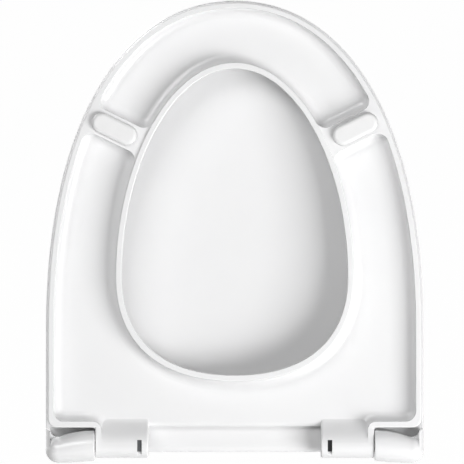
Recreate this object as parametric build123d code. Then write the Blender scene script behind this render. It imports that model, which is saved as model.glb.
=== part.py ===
"""Toilet seat and lid on a soft-close hinge.

All pieces are drawn lying closed: the hinge axis is X, the front is towards -Y and the top is up.
They are stored raised, turned about the hinge axis until lid and seat lean back past upright.
"""
import os
from math import acos, atan2, cos, hypot, radians, sin

from build123d import *

# Plan of the lid, forward distances taken from the hinge axis
LID_WIDTH = 365.2
LID_FRONT = 430.0
LID_BEHIND = 6.6
SIDE_START = 115.0
NOSE_FULLNESS = 0.61
LID_OVERHANG = 2.4

# Plan of the seat ring: its widths round the opening
RING_SIDE = 71.1
RING_NOSE = 63.6
RING_REAR = 50.4
OPENING_WAIST = 163.0
OPENING_NOSE_FULLNESS = 0.54
OPENING_TAIL_FULLNESS = 0.64

# Sockets for the posts on the pan
POST_RADIUS = 4.0
SOCKET_GAP = 0.3
SOCKET_DEPTH = 18.0
KEY_SLOT_WIDTH = 2.4
KEY_SLOT_DEPTH = 1.0
KEY_SLOT_LENGTH = 5.0

# Dampers, their turning pieces set by gaps inside the chamber
CHAMBER_RADIUS = 6.9
NECK_WALL = 1.7
CAP_LENGTH = 3.8
CAP_INSET = 0.4
HOUSING_WALL = 1.6
HOUSING_GAP = 0.6
LATCH_RECESS = 1.8
LATCH_FIT = 0.25
CHAMBER_END = 11.0
COLLAR_END = 0.6
HUB_WALL = 2.5
PARTITION_WIDTH = 2.4
PARTITION_ROOT = 0.4
SHAFT_RADIUS = 3.6
VANE_WIDTH = 1.8
VANE_GAP = 0.9
CLIP_WIDTH = 3.1
CLIP_GRIP = 1.6
CLIP_GAP = 0.3
CLIP_SHORT = 2.0
COLLAR_GAP = 0.15
COLLAR_LENGTH = 4.6
GROOVE_DEPTH = 1.6
GROOVE_WIDTH = 2.0
SEAT_VANE_ANGLE = -150.0
LID_VANE_ANGLE = -90.0

# Lugs of the seat
HINGE_GAP = 166.0
LUG_LENGTH = 51.4
LUG_WALL = 3.4
DAMPER_FIT = 0.1
LUG_PROUD = 3.0
LUG_ROUND = 2.0
LUG_END = 5.8
LUG_END_ROUND = 1.2
LUG_CORNER = 3.0
FLANK_ANGLE = 14.0
FLANK_REACH = 4.8
FLANK_CREST = 12.0
FLANK_FOOT = 8.0
END_EASE = 6.0
END_SINK = 0.3
WINDOW_INSET = 6.7
WINDOW_WIDTH = 4.3
WINDOW_LENGTH = 11.3
STEP_DEPTH = 4.4

# Barrels of the lid
BARREL_RADIUS = 16.8
BARREL_TAPER = 2.0
BARREL_FALL = 6.5
BEND_PROUD = 0.05
CHEEK_INSET = 0.3
CHEEK_FILL = 7.0
CHEEK_FILL_LEVEL = -2.0
NECK_FRONT = 5.0
BARREL_SIDE_GAP = 0.6
BARREL_CLEARANCE = 0.8
RAISED_ANGLE = 95.0

# Seat section
SEAT_THICKNESS = 20.0
SEAT_SKIN = 6.0
SEAT_RIM = 5.1
REAR_RIM = 5.6
SEAT_CORNER = 8.5
SEAT_TOP_ROUND = 7.5
SEAT_INNER_ROUND = 12.0
SEAT_EDGE_ROUND = 1.4
REAR_EDGE_ROUND = 5.5
LIP_WIDTH = 5.6
LIP_PROUD = 2.0
LIP_ROUND = 0.8
POCKET_CORNER = 10.5
POCKET_FLOOR_ROUND = 9.5
BAY_CORNER = 8.0

# Lid section
LID_GAP = 1.3
LID_HEIGHT = 21.0
LID_SKIN = 4.6
LID_WALL = 4.5
LID_BAR = 26.0
BAR_ROUND = 8.0
BAR_ROUND_RISE = 3.2
LID_CORNER = 9.0
LID_TOP_ROUND = 6.5
LID_EDGE_ROUND = 1.4
LID_INNER_CORNER = 14.0
LID_INNER_ROUND = 9.0
DOME_RISE = 12.4
DOME_FORWARD = 195.0

# Bumpers under the seat, each on a slanted rib
BUMPER_BACK = 122.1
BUMPER_OUTWARD = 3.3
BUMPER_ANGLE = 26.0
BUMPER_LENGTH = 46.5
BUMPER_WIDTH = 20.0
BUMPER_PROUD = 6.0
BUMPER_RECESS = 2.0
BUMPER_FIT = 0.15
BUMPER_ROUND = 4.0
PEG_RADIUS = 3.0
PEG_LENGTH = 6.0
PEG_SPACE = 0.5
RIB_WIDTH = 25.0

# Buffers between lid and seat
BOSS_RADIUS = 8.0
BOSS_RISE = 1.0
BUFFER_RADIUS = 6.5
BUFFER_GAP = 0.3
BUFFER_ROUND = 1.0
STEM_RADIUS = 2.5
STEM_LENGTH = 6.0

# Inserts in the barrels of the lid
BUSH_WALL = 2.0
BUSH_LENGTH = 20.0
PIN_RADIUS = 4.0
PIN_LENGTH = 18.0
KEY_RADIUS = 4.6
KEY_FLAT = 6.8
INSERT_WALL = 1.4
INSERT_ROUND = 2.0

# Fits, and how far a cut runs past the face it leaves or a joined feature into the next
RUNNING_FIT = 0.06
RUNNING_GAP = 0.4
PRESS_FIT = 0.02
PAST = 1.0
SINK = 0.5

neck_radius = POST_RADIUS + NECK_WALL
damper_radius = CHAMBER_RADIUS + HOUSING_WALL
lug_bore = damper_radius + DAMPER_FIT
lug_radius = lug_bore + LUG_WALL
lug_inner = HINGE_GAP / 2
lug_outer = lug_inner + LUG_LENGTH
rim_level = LUG_PROUD - lug_radius
seat_top = rim_level + SEAT_THICKNESS
floor_level = seat_top - SEAT_SKIN
seat_half = LID_WIDTH / 2 - LID_OVERHANG
seat_front = LID_FRONT - LID_OVERHANG
seat_rear = BARREL_RADIUS + BARREL_CLEARANCE
pocket_rear = seat_rear + REAR_RIM
opening_half = seat_half - RING_SIDE
opening_front = seat_front - RING_NOSE
opening_rear = seat_rear + RING_REAR
lid_bottom = max(lug_radius, seat_top) + LID_GAP
barrel_inner = lug_outer + BARREL_SIDE_GAP
barrel_start = barrel_inner + LUG_END_ROUND
barrel_outer = LID_WIDTH / 2
barrel_round = BARREL_RADIUS - BARREL_TAPER
barrel_front = barrel_round - BARREL_FALL
bend_round = (BARREL_RADIUS + barrel_front) / 2
bend_back = BARREL_RADIUS - bend_round
bend_x = barrel_outer - bend_round
bumper_forward = seat_front - BUMPER_BACK


def nose_curve(half_width, front, start, fullness):
    """Cubic from the nose to the widest point, square to the axis at the nose and parallel at the side."""
    reach = front - start
    nose = (0, -front)
    nose_handle = (fullness * half_width, -front)
    side_handle = (half_width, -start - fullness * reach)
    side = (half_width, -start)
    return Bezier(nose, nose_handle, side_handle, side)


def plate_face(inset, rear):
    """Plan of the lid, or of anything set inside it: a full nose, straight sides and a square back."""
    half_width = LID_WIDTH / 2 - inset
    nose = nose_curve(half_width, LID_FRONT - inset, SIDE_START, NOSE_FULLNESS)
    right = (half_width, -SIDE_START)
    right_rear = (half_width, -rear)
    left_rear = (-half_width, -rear)
    left = (-half_width, -SIDE_START)
    back = Polyline(right, right_rear, left_rear, left)
    return make_face((nose + back + mirror(nose, Plane.YZ)).edges())


def egg_face(outset):
    """Plan of the opening, or of anything set around it."""
    half_width = opening_half + outset
    nose = nose_curve(half_width, opening_front + outset, OPENING_WAIST, OPENING_NOSE_FULLNESS)
    tail = nose_curve(half_width, opening_rear - outset, OPENING_WAIST, OPENING_TAIL_FULLNESS)
    right = nose + tail
    return make_face((right + mirror(right, Plane.YZ)).edges())


def prism(face, bottom, top):
    """Solid standing on a plan between two levels."""
    return Pos(0, 0, bottom) * extrude(face, top - bottom)


def box_between(x0, x1, forward0, forward1, bottom, top):
    """Box given by its limits across, forward of the axis and up."""
    middle = ((x0 + x1) / 2, -(forward0 + forward1) / 2, (bottom + top) / 2)
    return Pos(*middle) * Box(abs(x1 - x0), abs(forward1 - forward0), abs(top - bottom))


def side_point(forward, up):
    """Point of a side profile, seen across the hinge axis."""
    return (-forward, up)


def across(face, x0, x1):
    """Solid between two positions across, from a side profile."""
    return Pos(x0, 0, 0) * extrude(Plane.YZ * face, x1 - x0)


def rod(radius, x0, x1):
    """Round bar on the hinge axis between two positions across."""
    return across(Circle(radius), x0, x1)


def tube(outer, inner, x0, x1):
    """Round sleeve on the hinge axis between two positions across."""
    return rod(outer, x0, x1) - rod(inner, x0 - PAST, x1 + PAST)


def blade(width, low, high, x0, x1):
    """Flat bar along the hinge axis, upright over it between two heights."""
    return box_between(x0, x1, -width / 2, width / 2, low, high)


def key_bar(radius, across_flats, x0, x1):
    """Bar on the hinge axis with two flats."""
    return rod(radius, x0, x1) & blade(2 * radius, -across_flats / 2, across_flats / 2, x0, x1)


def rear_round(reach, rise, forward, level, half_length):
    """What an oval rounding takes off a lower rear edge that runs across."""
    front = forward + reach
    corner = box_between(-half_length, half_length, forward - PAST, front, level - PAST, level + rise)
    oval = across(Ellipse(reach, rise), -half_length - PAST, half_length + PAST)
    return corner - Pos(0, -front, level + rise) * oval


def half_width_at(curve, forward):
    """Half width of a nose curve at a forward distance, found by halving its parameter range."""
    low = 0.0
    high = 1.0
    for _ in range(30):
        middle = (low + high) / 2
        if -(curve @ middle).Y > forward:
            low = middle
        else:
            high = middle
    return (curve @ low).X


def upright_edges(solid):
    """Edges that stand along the vertical."""
    return solid.edges().filter_by(Axis.Z)


def edges_near(edges, x, forward, reach):
    """Edges whose middle lies within a reach of a plan position."""
    spot = Vector(x, -forward, 0)
    return [e for e in edges if (Vector((e @ 0.5).X, (e @ 0.5).Y, 0) - spot).length < reach]


# Seat body: rounded along the top, thin edge left under it, opening with a lip that stands proud below
seat_body = prism(plate_face(LID_OVERHANG, seat_rear), rim_level, seat_top)
seat_body = fillet(upright_edges(seat_body).sort_by(Axis.Y)[-2:], SEAT_CORNER)
seat_body = fillet(seat_body.faces().sort_by(Axis.Z)[-1].edges(), SEAT_TOP_ROUND)
seat_body = fillet(seat_body.faces().sort_by(Axis.Z)[0].edges(), SEAT_EDGE_ROUND)
lip = prism(egg_face(LIP_WIDTH), rim_level - LIP_PROUD, floor_level)
lip = fillet(lip.faces().sort_by(Axis.Z)[0].edges(), LIP_ROUND)
opening = prism(egg_face(0), rim_level - LIP_PROUD - PAST, seat_top + PAST)
seat = seat_body + lip - opening
top_face = seat.faces().sort_by(Axis.Z)[-1]
seat = fillet(top_face.inner_wires()[0].edges(), SEAT_INNER_ROUND)
lip_face = seat.faces().sort_by(Axis.Z)[0]
seat = fillet(lip_face.inner_wires()[0].edges(), LIP_ROUND)

# Pockets under the seat, parted by two slanted ribs: one in the nose, and one round the sides that runs out
# at the back, where the rear rim turns round a corner to the end of each lug
bay_outer = lug_outer - LUG_END
seat_nose = nose_curve(seat_half, seat_front, SIDE_START, NOSE_FULLNESS)
opening_nose = nose_curve(opening_half, opening_front, OPENING_WAIST, OPENING_NOSE_FULLNESS)
rib_outer = half_width_at(seat_nose, bumper_forward) - SEAT_RIM
rib_inner = half_width_at(opening_nose, bumper_forward) + LIP_WIDTH
bumper_x = (rib_outer + rib_inner) / 2 + BUMPER_OUTWARD
bumper_right = Pos(bumper_x, -bumper_forward, 0) * Rot(0, 0, -BUMPER_ANGLE)
bumper_left = Pos(-bumper_x, -bumper_forward, 0) * Rot(0, 0, BUMPER_ANGLE)
rib_length = rib_outer - rib_inner + 4 * RIB_WIDTH
ribs = bumper_right * Rectangle(rib_length, RIB_WIDTH) + bumper_left * Rectangle(rib_length, RIB_WIDTH)
bay = Pos(0, -pocket_rear / 2, 0) * Rectangle(2 * bay_outer, pocket_rear + 2 * BAY_CORNER)
pocket_plan = plate_face(LID_OVERHANG + SEAT_RIM, pocket_rear) + bay - egg_face(LIP_WIDTH) - ribs
pockets = prism(pocket_plan, rim_level - LIP_PROUD / 2, floor_level)
pocket_uprights = upright_edges(pockets)
bay_corners = edges_near(pocket_uprights, bay_outer, pocket_rear, BAY_CORNER)
bay_corners += edges_near(pocket_uprights, -bay_outer, pocket_rear, BAY_CORNER)
pockets = fillet(bay_corners, BAY_CORNER)
pocket_uprights = upright_edges(pockets)
pocket_corners = edges_near(pocket_uprights, bumper_x, bumper_forward, rib_length / 2)
pocket_corners += edges_near(pocket_uprights, -bumper_x, bumper_forward, rib_length / 2)
pocket_corners += edges_near(pocket_uprights, seat_half - SEAT_RIM, pocket_rear, SEAT_CORNER)
pocket_corners += edges_near(pocket_uprights, SEAT_RIM - seat_half, pocket_rear, SEAT_CORNER)
pockets = fillet(pocket_corners, POCKET_CORNER)
floor_edges = pockets.faces().sort_by(Axis.Z)[-2:].edges().sort_by(Axis.Y)[:-1]
pockets = fillet(floor_edges, POCKET_FLOOR_ROUND)
seat = seat - pockets
seat = seat - rear_round(REAR_EDGE_ROUND, REAR_EDGE_ROUND, seat_rear, floor_level, lug_inner + LUG_END)

# Lugs: a round barrel on a web whose flank falls in a soft curve to the pocket floor, and an end wall that
# carries the rim to the barrel
crown_angle = atan2(seat_top, pocket_rear) + acos(lug_radius / hypot(seat_top, pocket_rear))
crown = side_point(lug_radius * cos(crown_angle), lug_radius * sin(crown_angle))
axis_point = side_point(0, 0)
web_top = side_point(pocket_rear, seat_top)
flank_turn = radians(FLANK_ANGLE)
leave_forward = lug_radius * sin(flank_turn)
leave_level = -lug_radius * cos(flank_turn)
leave = side_point(leave_forward, leave_level)
crest_forward = leave_forward + FLANK_CREST * cos(flank_turn)
crest_handle = side_point(crest_forward, leave_level + FLANK_CREST * sin(flank_turn))
web_foot = floor_level + SINK
flank_front = pocket_rear + FLANK_REACH
foot_handle = side_point(flank_front - FLANK_FOOT, web_foot)
foot = side_point(flank_front, web_foot)
flank = Bezier(leave, crest_handle, foot_handle, foot)
web = make_face(flank + Polyline(foot, web_top, crown, axis_point, leave))
end_forward = leave_forward + END_EASE * cos(flank_turn)
end_handle = side_point(end_forward, leave_level + END_EASE * sin(flank_turn))
rim_middle = seat_rear + REAR_RIM / 2
rim_handle = side_point(rim_middle - END_EASE, rim_level + END_SINK)
rim_point = side_point(rim_middle, rim_level + END_SINK)
end_curve = Bezier(leave, end_handle, rim_handle, rim_point)
end_wall = make_face(end_curve + Polyline(rim_point, web_top, crown, axis_point, leave))
lug = rod(lug_radius, lug_inner, lug_outer) + across(web, lug_inner, lug_outer)
lug = lug + (across(end_wall, bay_outer, lug_outer) - pockets)
lug = fillet(lug.faces().sort_by(Axis.X)[0].edges(), LUG_ROUND)
lug = fillet(lug.faces().sort_by(Axis.X)[-1].edges(), LUG_END_ROUND)
corner_x = lug_outer + LUG_CORNER
corner_forward = seat_rear - LUG_CORNER
corner_bottom = rim_level + SEAT_EDGE_ROUND
corner_top = seat_top - SEAT_TOP_ROUND
corner = box_between(lug_outer - SINK, corner_x, corner_forward, seat_rear + SINK, corner_bottom, corner_top)
hollow_corner = prism(Circle(LUG_CORNER), corner_bottom - PAST, corner_top + PAST)
corner = corner - Pos(corner_x, -corner_forward, 0) * hollow_corner
lug = lug + corner
seat = seat + lug + mirror(lug, Plane.YZ)

# Damper bores through the lugs, each with a window for the latch and a flat step where the latch slides in
bore = rod(lug_bore, lug_inner - PAST, lug_outer + PAST)
window_inner = lug_inner + WINDOW_INSET
window_outer = window_inner + WINDOW_WIDTH
window_half = WINDOW_LENGTH / 2
window = box_between(window_inner, window_outer, -window_half, window_half, -lug_radius - PAST, 0)
step_level = STEP_DEPTH - lug_radius
step_front = SINK - window_half
step = box_between(window_inner, window_outer, -lug_radius, step_front, -lug_radius - PAST, step_level)
bore = bore + window + step
seat = seat - bore - mirror(bore, Plane.YZ)

# Shallow recesses in the ribs for the bumpers, each with two peg holes
recess_floor = rim_level + BUMPER_RECESS
recess_plan = SlotOverall(BUMPER_LENGTH + 2 * BUMPER_FIT, BUMPER_WIDTH + 2 * BUMPER_FIT)
recess = prism(recess_plan, rim_level - PAST, recess_floor)
peg_right = Pos((BUMPER_LENGTH - BUMPER_WIDTH) / 2, 0, 0)
peg_left = Pos((BUMPER_WIDTH - BUMPER_LENGTH) / 2, 0, 0)
peg_hole = prism(Circle(PEG_RADIUS + BUMPER_FIT), rim_level, recess_floor + PEG_LENGTH + PEG_SPACE)
recess = recess + peg_right * peg_hole + peg_left * peg_hole
seat = seat - bumper_right * recess - bumper_left * recess

# Bumper: oblong pad with a rounded face and two pegs
pad = prism(SlotOverall(BUMPER_LENGTH, BUMPER_WIDTH), rim_level - BUMPER_PROUD, recess_floor)
pad = fillet(pad.faces().sort_by(Axis.Z)[0].edges(), BUMPER_ROUND)
peg = prism(Circle(PEG_RADIUS), recess_floor - SINK, recess_floor + PEG_LENGTH)
bumper = pad + peg_right * peg + peg_left * peg

# Lid: a shallow dome with side walls, a solid bar along the back and rounded edges
lid_crown = lid_bottom + LID_HEIGHT
dome_reach = max(hypot(LID_WIDTH / 2, DOME_FORWARD + LID_BEHIND), LID_FRONT - DOME_FORWARD)
dome_radius = dome_reach ** 2 / (2 * DOME_RISE) + DOME_RISE / 2
dome_middle = Pos(0, -DOME_FORWARD, lid_crown - dome_radius) * Rot(0, 90, 0)
lid = prism(plate_face(0, -LID_BEHIND), lid_bottom, lid_crown + PAST)
lid = fillet(upright_edges(lid).sort_by(Axis.Y)[-2:], LID_CORNER)
lid = lid & dome_middle * Sphere(dome_radius)
lid = fillet(lid.faces().sort_by(Axis.Z)[-1].edges(), LID_TOP_ROUND)
lid = fillet(lid.faces().sort_by(Axis.Z)[0].edges(), LID_EDGE_ROUND)
hollow = prism(plate_face(LID_WALL, LID_BAR), lid_bottom - PAST, lid_crown + PAST)
hollow = fillet(upright_edges(hollow).sort_by(Axis.Y)[-2:], LID_INNER_CORNER)
hollow = hollow & dome_middle * Sphere(dome_radius - LID_SKIN)
hollow = fillet(hollow.faces().sort_by(Axis.Z)[-1].edges(), LID_INNER_ROUND)
lid = lid - hollow - rear_round(BAR_ROUND, BAR_ROUND_RISE, -LID_BEHIND, lid_bottom, barrel_inner - SINK)


def barrel_section(share):
    """Oval across the barrel, at a share of the way from its inner end to the middle of its rounded end."""
    x = barrel_start + share * (bend_x - barrel_start)
    front = barrel_round - (BARREL_FALL + BEND_PROUD) * share ** 2
    back = barrel_round + (BARREL_TAPER - BEND_PROUD) * (2 * share - share ** 2)
    height = barrel_round - (barrel_round - bend_round + BEND_PROUD) * share ** 2
    return Pos(x, (back - front) / 2, 0) * (Plane.YZ * Ellipse((front + back) / 2, height))


# Barrel at each rear corner: its front falls away from the seat towards a rounded outer end, and a cheek
# joins it to the side wall
barrel = loft([barrel_section(0), barrel_section(0.5), barrel_section(1)])
barrel_end = rod(barrel_round - BEND_PROUD, barrel_inner, barrel_start + LUG_END_ROUND)
barrel_end = fillet(barrel_end.faces().sort_by(Axis.X)[0].edges(), LUG_END_ROUND)
bend_plane = Plane((bend_x, bend_back, 0), x_dir=(-1, 0, 1), z_dir=(1, -0.5, 1))
barrel = barrel + barrel_end + bend_plane * Sphere(bend_round)
cheek_inner = barrel_outer - LID_WALL
cheek_outer = barrel_outer - CHEEK_INSET
cheek_top = lid_bottom + PAST
cheek_circle = Plane.XZ * Circle(bend_round - CHEEK_INSET)
cheek = extrude(Pos(bend_x, bend_back, 0) * cheek_circle, BARREL_RADIUS + bend_back)
cheek = cheek + box_between(bend_x, cheek_outer, -bend_back, BARREL_RADIUS, 0, cheek_top)
cheek = cheek & box_between(cheek_inner, cheek_outer, -bend_back, BARREL_RADIUS, -BARREL_RADIUS, cheek_top)
cheek = cheek & rod(BARREL_RADIUS, cheek_inner, barrel_outer)
fill_x = cheek_inner - CHEEK_FILL
fill_front = barrel_front + CHEEK_FILL
fill = box_between(fill_x, cheek_inner + SINK, 0, fill_front, CHEEK_FILL_LEVEL, cheek_top)
hollow_fill = prism(Circle(CHEEK_FILL), CHEEK_FILL_LEVEL - PAST, cheek_top + PAST)
fill = fill - Pos(fill_x, -fill_front, 0) * hollow_fill
neck = box_between(barrel_start, cheek_inner + SINK, -LID_BEHIND / 2, NECK_FRONT, 0, cheek_top)
barrel = barrel + cheek + fill + neck
lid = lid + barrel + mirror(barrel, Plane.YZ)

# Bosses under the lid carry round buffers that meet the seat over its ribs
boss_level = lid_bottom + BOSS_RISE
dome_drop = (bumper_x ** 2 + (bumper_forward - DOME_FORWARD) ** 2) / (2 * dome_radius)
boss_top = lid_crown - dome_drop - LID_SKIN / 2
boss_right = Pos(bumper_x, -bumper_forward, 0)
boss_left = Pos(-bumper_x, -bumper_forward, 0)
boss = prism(Circle(BOSS_RADIUS), boss_level, boss_top)
stem_hole = prism(Circle(STEM_RADIUS + BUMPER_FIT), boss_level - PAST, boss_level + STEM_LENGTH + PEG_SPACE)
boss = boss - stem_hole
lid = lid + boss_right * boss + boss_left * boss
buffer_disc = prism(Circle(BUFFER_RADIUS), seat_top + BUFFER_GAP, boss_level)
buffer_disc = fillet(buffer_disc.faces().sort_by(Axis.Z)[0].edges(), BUFFER_ROUND)
lid_buffer = buffer_disc + prism(Circle(STEM_RADIUS), boss_level - SINK, boss_level + STEM_LENGTH)

# Left barrel: blind bore with a bush for the pivot pin; right barrel: square seat for the drive insert
bush_end = barrel_inner + BUSH_LENGTH
bush_space = bush_end + SINK
pivot_radius = PIN_RADIUS + BUSH_WALL
lid = lid - mirror(rod(pivot_radius + PRESS_FIT, barrel_inner - PAST, bush_space), Plane.YZ)
pivot_bush = tube(pivot_radius, PIN_RADIUS + RUNNING_FIT, barrel_inner, bush_end)
insert_side = 2 * (KEY_RADIUS + INSERT_WALL)
seat_side = insert_side + 2 * PRESS_FIT
lid = lid - across(RectangleRounded(seat_side, seat_side, INSERT_ROUND), barrel_inner - PAST, bush_space)
drive_insert = across(RectangleRounded(insert_side, insert_side, INSERT_ROUND), barrel_inner, bush_end)
key_hole_flat = KEY_FLAT + 2 * RUNNING_FIT
key_hole = key_bar(KEY_RADIUS + RUNNING_FIT, key_hole_flat, barrel_inner - PAST, bush_end + PAST)
drive_insert = drive_insert - key_hole

# Seat damper, drawn on the right and mirrored to the left lug: housing with latch, partition and pivot pin
housing_inner = lug_inner + HOUSING_GAP
housing_outer = lug_outer - HOUSING_GAP
latch_inner = window_inner + LATCH_FIT
latch_outer = window_outer - LATCH_FIT
latch_half = window_half - LATCH_FIT
latch_bottom = LATCH_RECESS - lug_radius
latch = box_between(latch_inner, latch_outer, -latch_half, latch_half, latch_bottom, -CHAMBER_RADIUS / 2)
shell = rod(damper_radius, housing_inner, housing_outer) + latch
chamber_end = housing_outer - CHAMBER_END
socket_start = lug_inner + SOCKET_GAP
socket_end = socket_start + SOCKET_DEPTH
vane_start = socket_end + HUB_WALL
partition_foot = SHAFT_RADIUS + RUNNING_FIT
partition_top = CHAMBER_RADIUS + PARTITION_ROOT
partition = blade(PARTITION_WIDTH, partition_foot, partition_top, vane_start, chamber_end + SINK)
seat_housing = shell - rod(CHAMBER_RADIUS, housing_inner - PAST, chamber_end) + partition
seat_housing = seat_housing + rod(PIN_RADIUS, housing_outer - SINK, barrel_inner + PIN_LENGTH)

# Seat damper rotor: keyed socket for the post, sealed collar, shaft with a vane that carries a valve clip
collar_radius = CHAMBER_RADIUS - COLLAR_GAP
groove_radius = CHAMBER_RADIUS - GROOVE_DEPTH
vane_radius = CHAMBER_RADIUS - VANE_GAP
collar_start = housing_inner + CAP_LENGTH + COLLAR_END
collar_end = collar_start + COLLAR_LENGTH
vane_end = chamber_end - RUNNING_GAP
seat_rotor = rod(neck_radius, socket_start, vane_start - RUNNING_GAP)
seat_rotor = seat_rotor + rod(collar_radius, collar_start, collar_end)
groove_start = (collar_start + collar_end - GROOVE_WIDTH) / 2
groove_end = groove_start + GROOVE_WIDTH
seat_rotor = seat_rotor - tube(collar_radius + PAST, groove_radius, groove_start, groove_end)
seat_rotor = seat_rotor + rod(SHAFT_RADIUS, vane_start - PAST, vane_end)
seat_rotor = seat_rotor + blade(VANE_WIDTH, 0, vane_radius, vane_start + RUNNING_GAP, vane_end)
key_slot_reach = POST_RADIUS + KEY_SLOT_DEPTH
key_slot_end = socket_start + KEY_SLOT_LENGTH
key_slot = blade(KEY_SLOT_WIDTH, -key_slot_reach, key_slot_reach, lug_inner - PAST, key_slot_end)
seat_rotor = seat_rotor - rod(POST_RADIUS, lug_inner - PAST, socket_end) - key_slot
o_ring_radius = (CHAMBER_RADIUS + groove_radius) / 2
o_ring_wire = (CHAMBER_RADIUS - groove_radius) / 2 - RUNNING_FIT
o_ring = Rot(0, 90, 0) * Torus(o_ring_radius, o_ring_wire)
seat_o_ring = Pos((collar_start + collar_end) / 2, 0, 0) * o_ring
clip_foot = vane_radius - CLIP_GRIP
clip_tip = CHAMBER_RADIUS - CLIP_GAP
slot_width = VANE_WIDTH + 2 * RUNNING_FIT
slot_top = vane_radius + RUNNING_FIT
seat_clip = blade(CLIP_WIDTH, clip_foot, clip_tip, vane_start + CLIP_SHORT, chamber_end - CLIP_SHORT)
seat_valve = seat_clip - blade(slot_width, 0, slot_top, vane_start, chamber_end)
cap_inner = housing_inner + CAP_INSET
seat_cap = tube(CHAMBER_RADIUS - RUNNING_FIT, neck_radius + RUNNING_FIT, cap_inner, cap_inner + CAP_LENGTH)

# Lid damper in the right lug: its housing also seats the post bush, its rotor drives the lid
post_bush_radius = POST_RADIUS + BUSH_WALL
bush_pocket_end = housing_inner + SOCKET_DEPTH
lid_chamber = bush_pocket_end + HUB_WALL
lid_collar_end = housing_outer - CAP_INSET - CAP_LENGTH - COLLAR_END
lid_collar = lid_collar_end - COLLAR_LENGTH
lid_housing = shell - rod(post_bush_radius + RUNNING_FIT, housing_inner - PAST, bush_pocket_end)
lid_housing = lid_housing - rod(CHAMBER_RADIUS, lid_chamber, housing_outer + PAST)
lid_partition_end = lid_collar - RUNNING_GAP
lid_partition = blade(PARTITION_WIDTH, partition_foot, partition_top, lid_chamber - SINK, lid_partition_end)
lid_housing = lid_housing + lid_partition
lid_rotor = rod(SHAFT_RADIUS, lid_chamber + RUNNING_GAP, lid_collar + PAST)
lid_rotor = lid_rotor + blade(VANE_WIDTH, 0, vane_radius, lid_chamber + RUNNING_GAP, lid_collar + SINK)
lid_rotor = lid_rotor + rod(collar_radius, lid_collar, lid_collar_end)
lid_groove = (lid_collar + lid_collar_end - GROOVE_WIDTH) / 2
lid_rotor = lid_rotor - tube(collar_radius + PAST, groove_radius, lid_groove, lid_groove + GROOVE_WIDTH)
lid_rotor = lid_rotor + rod(KEY_RADIUS, lid_collar_end - PAST, barrel_inner)
lid_rotor = lid_rotor + key_bar(KEY_RADIUS, KEY_FLAT, barrel_inner - PAST, barrel_inner + PIN_LENGTH)
lid_o_ring = Pos((lid_collar + lid_collar_end) / 2, 0, 0) * o_ring
lid_clip = blade(CLIP_WIDTH, clip_foot, clip_tip, lid_chamber + CLIP_SHORT, lid_collar - CLIP_SHORT)
lid_valve = lid_clip - blade(slot_width, 0, slot_top, lid_chamber, lid_collar)
cap_outer = housing_outer - CAP_INSET
lid_cap = tube(CHAMBER_RADIUS - RUNNING_FIT, KEY_RADIUS + RUNNING_FIT, cap_outer - CAP_LENGTH, cap_outer)
post_bush = tube(post_bush_radius, POST_RADIUS, socket_start, bush_pocket_end - RUNNING_GAP)

# Vanes are turned clear of the partitions over the whole travel of seat and lid
seat_vane_turn = Rot(SEAT_VANE_ANGLE, 0, 0)
lid_vane_turn = Rot(LID_VANE_ANGLE, 0, 0)
raised = Rot(-RAISED_ANGLE, 0, 0)
pieces = {
    "seat_ring": raised * seat,
    "seat_bumper_left": raised * (bumper_left * bumper),
    "seat_bumper_right": raised * (bumper_right * bumper),
    "lid": raised * lid,
    "lid_buffer_left": raised * (boss_left * lid_buffer),
    "lid_buffer_right": raised * (boss_right * lid_buffer),
    "lid_pivot_bush": raised * mirror(pivot_bush, Plane.YZ),
    "lid_drive_insert": raised * (lid_vane_turn * drive_insert),
    "seat_damper_housing": raised * mirror(seat_housing, Plane.YZ),
    "seat_damper_cap": raised * mirror(seat_cap, Plane.YZ),
    "seat_damper_rotor": seat_vane_turn * mirror(seat_rotor, Plane.YZ),
    "seat_damper_o_ring": mirror(seat_o_ring, Plane.YZ),
    "seat_damper_valve": seat_vane_turn * mirror(seat_valve, Plane.YZ),
    "lid_damper_housing": raised * lid_housing,
    "lid_damper_cap": raised * lid_cap,
    "lid_damper_rotor": raised * (lid_vane_turn * lid_rotor),
    "lid_damper_o_ring": raised * lid_o_ring,
    "lid_damper_valve": raised * (lid_vane_turn * lid_valve),
    "post_bush": post_bush,
}
os.makedirs("parts", exist_ok=True)
for name, piece in pieces.items():
    export_step(piece, "parts/" + name + ".step")
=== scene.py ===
import math

import bpy
import numpy as np
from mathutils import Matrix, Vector

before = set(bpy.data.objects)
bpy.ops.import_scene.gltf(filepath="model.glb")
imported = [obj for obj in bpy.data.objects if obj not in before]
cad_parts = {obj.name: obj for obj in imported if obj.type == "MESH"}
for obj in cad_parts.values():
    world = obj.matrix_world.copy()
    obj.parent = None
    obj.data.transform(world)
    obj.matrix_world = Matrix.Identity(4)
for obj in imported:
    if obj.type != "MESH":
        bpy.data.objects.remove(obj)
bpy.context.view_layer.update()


# Seat ring and lid: two shells pressed from white urea resin in polished steel tools, so they come out hard,
# opaque and glossy. The ring carries two hinge lugs, the lid two barrels that close the ends of the lugs.
MM = 0.001


def linear(code):
    """sRGB hex to linear RGBA. Each channel over 255 is c: up to 0.04045 it gives c / 12.92, and above that
    (c + 0.055) / 1.055 to the power 2.4."""
    c = np.array([int(code[i:i + 2], 16) for i in (1, 3, 5)]) / 255
    return (*np.where(c > 0.04045, ((c + 0.055) / 1.055) ** 2.4, c / 12.92), 1.0)


def add(tree, kind, settings=(), inputs=(), links=()):
    """Adds one node, sets its own settings and socket values, and links sockets of earlier nodes into it."""
    node = tree.nodes.new("ShaderNode" + kind)
    for name, value in dict(settings).items():
        setattr(node, name, value)
    for name, value in dict(inputs).items():
        node.inputs[name].default_value = value
    for name, (source, socket) in dict(links).items():
        tree.links.new(source.outputs[socket], node.inputs[name])
    return node


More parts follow.
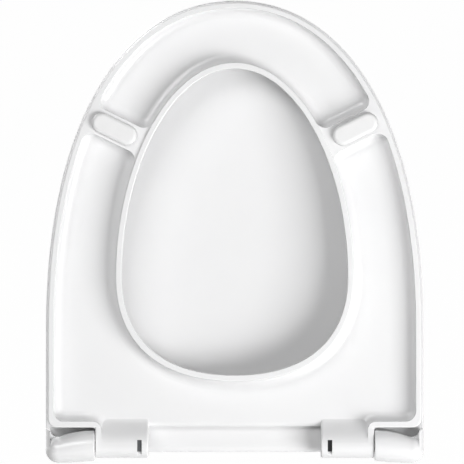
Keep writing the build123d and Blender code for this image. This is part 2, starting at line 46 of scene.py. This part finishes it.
def start_finish(name, ior):
    """Starts a material with its refractive index. Gives the material, its nodes, its shader and the piece's
    own coordinates in metres, so that a pattern's scale is one over its width."""
    material = bpy.data.materials.new(name)
    material.use_nodes = True
    tree = material.node_tree
    shader = tree.nodes["Principled BSDF"]
    shader.inputs["IOR"].default_value = ior
    return material, tree, shader, add(tree, "TexCoord")


def end_finish(tree, shader, colour, rough, relief=None):
    """Links a finish's colour and roughness into its shader, and its relief where it has one."""
    tree.links.new(colour.outputs["Result"], shader.inputs["Base Color"])
    tree.links.new(rough.outputs["Result"], shader.inputs["Roughness"])
    if relief:
        tree.links.new(relief.outputs["Normal"], shader.inputs["Normal"])


def wear(material, names):
    """Gives each named CAD piece this material and no other."""
    for name in names:
        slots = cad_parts[name].data.materials
        slots.clear()
        slots.append(material)


def urea_moulding(name, body, cloud):
    """Pressed urea resin: white filler gives a faint cloud, wiping leaves the gloss a little uneven, and the
    polished tool leaves a long shallow waviness, drawn deeper than real so that it shows."""
    cloud_width = 90 * MM
    wiped_width = 40 * MM
    wave_width = 4 * MM
    wave_depth = 0.03 * MM
    material, tree, shader, place = start_finish(name, ior=1.55)
    haze = add(tree, "TexNoise", inputs={"Scale": 1 / cloud_width, "Detail": 3.0, "Roughness": 0.5},
               links={"Vector": (place, "Object")})
    colour = add(tree, "Mix", {"data_type": "RGBA"}, {"A": linear(body), "B": linear(cloud)},
                 {"Factor": (haze, "Fac")})
    wiped = add(tree, "TexNoise", inputs={"Scale": 1 / wiped_width, "Detail": 2.0, "Roughness": 0.5},
                links={"Vector": (place, "Object")})
    gloss = add(tree, "MapRange", inputs={"From Min": 0.3, "From Max": 0.7, "To Min": 0.2, "To Max": 0.26},
                links={"Value": (wiped, "Fac")})
    peel = add(tree, "TexNoise", inputs={"Scale": 1 / wave_width, "Detail": 1.0, "Roughness": 0.4},
               links={"Vector": (place, "Object")})
    wave = add(tree, "Bump", inputs={"Strength": 0.25, "Distance": wave_depth},
               links={"Height": (peel, "Fac")})
    end_finish(tree, shader, colour, gloss, wave)
    return material


shell_urea = urea_moulding("urea_moulding_white", "#E9E9E9", "#E4E4E5")
wear(shell_urea, ("seat_ring", "lid"))


# Pads and buffers: soft white elastomer, moulded with a fine spark-eroded grain and pressed in by pegs. The
# two oblong pads stand on the rim of the pan, the two round buffers keep the lid off the seat.
def soft_elastomer(name, body, shade):
    """Matt elastomer: grain 0.5 mm wide, drawn coarser so that it shows, and a bloom that mottles it."""
    bloom_width = 11 * MM
    grain_width = 0.8 * MM
    grain_depth = 0.05 * MM
    material, tree, shader, place = start_finish(name, ior=1.5)
    bloom = add(tree, "TexNoise", inputs={"Scale": 1 / bloom_width, "Detail": 4.0},
                links={"Vector": (place, "Object")})
    colour = add(tree, "Mix", {"data_type": "RGBA"}, {"A": linear(body), "B": linear(shade)},
                 {"Factor": (bloom, "Fac")})
    grain = add(tree, "TexVoronoi", {"feature": "SMOOTH_F1"}, {"Scale": 1 / grain_width},
                {"Vector": (place, "Object")})
    rough = add(tree, "MapRange", inputs={"From Max": 0.8, "To Min": 0.42, "To Max": 0.56},
                links={"Value": (grain, "Distance")})
    pits = add(tree, "Bump", inputs={"Strength": 0.4, "Distance": grain_depth},
               links={"Height": (grain, "Distance")})
    end_finish(tree, shader, colour, rough, pits)
    return material


pad_elastomer = soft_elastomer("elastomer_white", "#E9E9E9", "#E4E4E4")
wear(pad_elastomer, ("seat_bumper_left", "seat_bumper_right", "lid_buffer_left", "lid_buffer_right"))


# Damper housings and their caps: glass-filled nylon, moulded dark and dull, with short fibres that show as
# pale flecks. Their latch tongues fill the two windows in the lugs. The grey one brakes the seat, the black
# one the lid.
def filled_nylon(name, body, fleck):
    """Nylon with glass fibre: flecks that lie along the hinge axis, 2 mm long there and 0.3 mm wide, drawn
    coarse so that they show, on a dull skin that reflects half as much as bare resin."""
    fleck_width = 0.3 * MM
    fleck_depth = 0.03 * MM
    width_to_length = 0.15
    material, tree, shader, place = start_finish(name, ior=1.53)
    shader.inputs["Specular IOR Level"].default_value = 0.25
    lie = add(tree, "Mapping", inputs={"Scale": (width_to_length, 1.0, 1.0)},
              links={"Vector": (place, "Object")})
    fibre = add(tree, "TexNoise", inputs={"Scale": 1 / fleck_width, "Detail": 2.0},
                links={"Vector": (lie, "Vector")})
    shows = add(tree, "MapRange", inputs={"From Min": 0.55, "From Max": 0.75},
                links={"Value": (fibre, "Fac")})
    colour = add(tree, "Mix", {"data_type": "RGBA"}, {"A": linear(body), "B": linear(fleck)},
                 {"Factor": (shows, "Result")})
    rough = add(tree, "MapRange", inputs={"To Min": 0.5, "To Max": 0.68}, links={"Value": (fibre, "Fac")})
    skin = add(tree, "Bump", inputs={"Strength": 0.3, "Distance": fleck_depth},
               links={"Height": (fibre, "Fac")})
    end_finish(tree, shader, colour, rough, skin)
    return material


seat_nylon = filled_nylon("glass_filled_nylon_grey", "#505153", "#67686A")
lid_nylon = filled_nylon("glass_filled_nylon_black", "#0E0E10", "#1D1D20")
wear(seat_nylon, ("seat_damper_housing", "seat_damper_cap"))
wear(lid_nylon, ("lid_damper_housing", "lid_damper_cap"))


# Rotors, valves, bushes and insert: acetal, turned or moulded pale and waxy so that it slides without oil.
# The rotors carry the vanes of the dampers, the bushes take the posts and the pivot pin.
def acetal(name, body, shade):
    """Acetal: waxy and half glossy, with turning rings along the hinge axis, drawn coarse so that they show.
    The wave node sets its bands pi / 10 over its scale apart."""
    tone_width = 6 * MM
    ring_spacing = 2.513 * MM
    ring_depth = 0.02 * MM
    material, tree, shader, place = start_finish(name, ior=1.48)
    tone = add(tree, "TexNoise", inputs={"Scale": 1 / tone_width, "Detail": 3.0},
               links={"Vector": (place, "Object")})
    colour = add(tree, "Mix", {"data_type": "RGBA"}, {"A": linear(body), "B": linear(shade)},
                 {"Factor": (tone, "Fac")})
    ring_scale = math.pi / 10 / ring_spacing
    rings = add(tree, "TexWave", {"bands_direction": "X"}, {"Scale": ring_scale, "Distortion": 0.6},
                {"Vector": (place, "Object")})
    rough = add(tree, "MapRange", inputs={"To Min": 0.3, "To Max": 0.42}, links={"Value": (rings, "Fac")})
    turned = add(tree, "Bump", inputs={"Strength": 0.2, "Distance": ring_depth},
                 links={"Height": (rings, "Fac")})
    end_finish(tree, shader, colour, rough, turned)
    return material


rotor_acetal = acetal("acetal_grey", "#BFC2C4", "#B2B5B7")
bush_acetal = acetal("acetal_natural", "#E2E1DB", "#D7D6CF")
wear(rotor_acetal, ("seat_damper_rotor", "lid_damper_rotor"))
wear(bush_acetal, ("seat_damper_valve", "lid_damper_valve"))
wear(bush_acetal, ("post_bush", "lid_pivot_bush", "lid_drive_insert"))


# Damper seals: nitrile rubber rings, moulded black and stretched into the grooves of the two collars. A film
# of damper grease leaves them wet in some places and dull in others.
film_width = 2.5 * MM
nitrile, tree, shader, place = start_finish("nitrile_rubber_black", ior=1.52)
film = add(tree, "TexNoise", inputs={"Scale": 1 / film_width, "Detail": 3.0},
           links={"Vector": (place, "Object")})
colour = add(tree, "Mix", {"data_type": "RGBA"}, {"A": linear("#161617"), "B": linear("#242425")},
             {"Factor": (film, "Fac")})
rough = add(tree, "MapRange", inputs={"From Min": 0.3, "From Max": 0.7, "To Min": 0.3, "To Max": 0.6},
            links={"Value": (film, "Fac")})
end_finish(tree, shader, colour, rough)
wear(nitrile, ("seat_damper_o_ring", "lid_damper_o_ring"))


# Floor: wide and white, well below the part, which hangs from its hinge as it does on a pan. It glows white
# far off, where the lamps don't reach, and half as much under the part, so that the shadow stays on it.
floor_half = 60.0
floor_z = -1.3
near_reach = 1.5
near_glow = 0.5
far_reach = 3.5
far_glow = 0.97
floor_mesh = bpy.data.meshes.new("floor")
floor_corners = [(-floor_half, -floor_half, floor_z), (floor_half, -floor_half, floor_z),
                 (floor_half, floor_half, floor_z), (-floor_half, floor_half, floor_z)]
floor_mesh.from_pydata(floor_corners, [], [(0, 1, 2, 3)])
floor = bpy.data.objects.new("floor", floor_mesh)
bpy.context.scene.collection.objects.link(floor)


def clear_view(tree):
    """1 for a ray from the camera, off a mirror or through glass, else 0: the largest of the three flags."""
    path = add(tree, "LightPath")
    sharp = add(tree, "Math", {"operation": "MAXIMUM"},
                links={0: (path, "Is Camera Ray"), 1: (path, "Is Glossy Ray")})
    return add(tree, "Math", {"operation": "MAXIMUM"},
               links={0: (sharp, "Value"), 1: (path, "Is Transmission Ray")})


paper = bpy.data.materials.new("matt_paper_white")
paper.use_nodes = True
tree = paper.node_tree
tree.nodes.remove(tree.nodes["Principled BSDF"])
sheet = add(tree, "BsdfDiffuse", inputs={"Color": linear("#D8D8D8")})
place = add(tree, "TexCoord")
reach = add(tree, "VectorMath", {"operation": "LENGTH"}, links={0: (place, "Object")})
glow = add(tree, "MapRange", {"interpolation_type": "SMOOTHSTEP"},
           {"From Min": near_reach, "From Max": far_reach, "To Min": near_glow, "To Max": far_glow},
           {"Value": (reach, "Value")})
seen = add(tree, "Math", {"operation": "MULTIPLY"},
           links={0: (clear_view(tree), "Value"), 1: (glow, "Result")})
shown = add(tree, "Emission", links={"Strength": (seen, "Value")})
both = add(tree, "AddShader", links={0: (sheet, "BSDF"), 1: (shown, "Emission")})
tree.links.new(both.outputs["Shader"], tree.nodes["Material Output"].inputs["Surface"])
floor_mesh.materials.append(paper)


# Studio light: a surround that shows white and lights the part only faintly. A wide softbox low at the right
# and one high at the left shade the hollows all round, and a small one behind lights the edges and the back.
surround_light = 0.03
world = bpy.data.worlds.new("studio_surround")
bpy.context.scene.world = world
world.use_nodes = True
tree = world.node_tree
level = add(tree, "MapRange", inputs={"To Min": surround_light, "To Max": 1.0},
            links={"Value": (clear_view(tree), "Value")})
surround = tree.nodes["Background"]
surround.inputs["Color"].default_value = (1, 1, 1, 1)
tree.links.new(level.outputs["Result"], surround.inputs["Strength"])

part_middle = Vector((0, 0.018, 0.2))
for name, spot, width, height, power in (("low_softbox", (2.0, -2.0, -0.65), 1.9, 1.2, 86.0),
                                         ("high_softbox", (-1.25, -2.35, 1.85), 2.0, 1.2, 44.0),
                                         ("back_softbox", (-1.5, 1.4, 1.9), 0.7, 0.7, 80.0)):
    lamp = bpy.data.lights.new(name, "AREA")
    lamp.shape = "RECTANGLE"
    lamp.size = width
    lamp.size_y = height
    lamp.energy = power
    holder = bpy.data.objects.new(name, lamp)
    holder.location = spot
    holder.visible_camera = False
    holder.rotation_euler = (part_middle - Vector(spot)).to_track_quat("-Z", "Y").to_euler()
    bpy.context.scene.collection.objects.link(holder)


# Camera: a long lens far off, square to the seat, which leans 5 degrees back, so it looks down by as much.
# Its focal length is the sensor's width times the distance over the width that the frame takes in.
lean = math.radians(5)
across = -2.6 * MM
along = 206.2 * MM
frame_width = 448 * MM
sensor_width = 36
distance = 8.0
aim = Vector((across, along * math.sin(lean), along * math.cos(lean)))
back = Vector((0, -math.cos(lean), math.sin(lean)))
lens = bpy.data.cameras.new("long_lens")
lens.sensor_width = sensor_width
lens.lens = sensor_width * distance / frame_width
lens.clip_end = 100
camera = bpy.data.objects.new("camera", lens)
camera.location = aim + back * distance
camera.rotation_euler = (-back).to_track_quat("-Z", "Y").to_euler()
bpy.context.scene.collection.objects.link(camera)
bpy.context.scene.camera = camera
bpy.context.scene.view_settings.view_transform = "Standard"
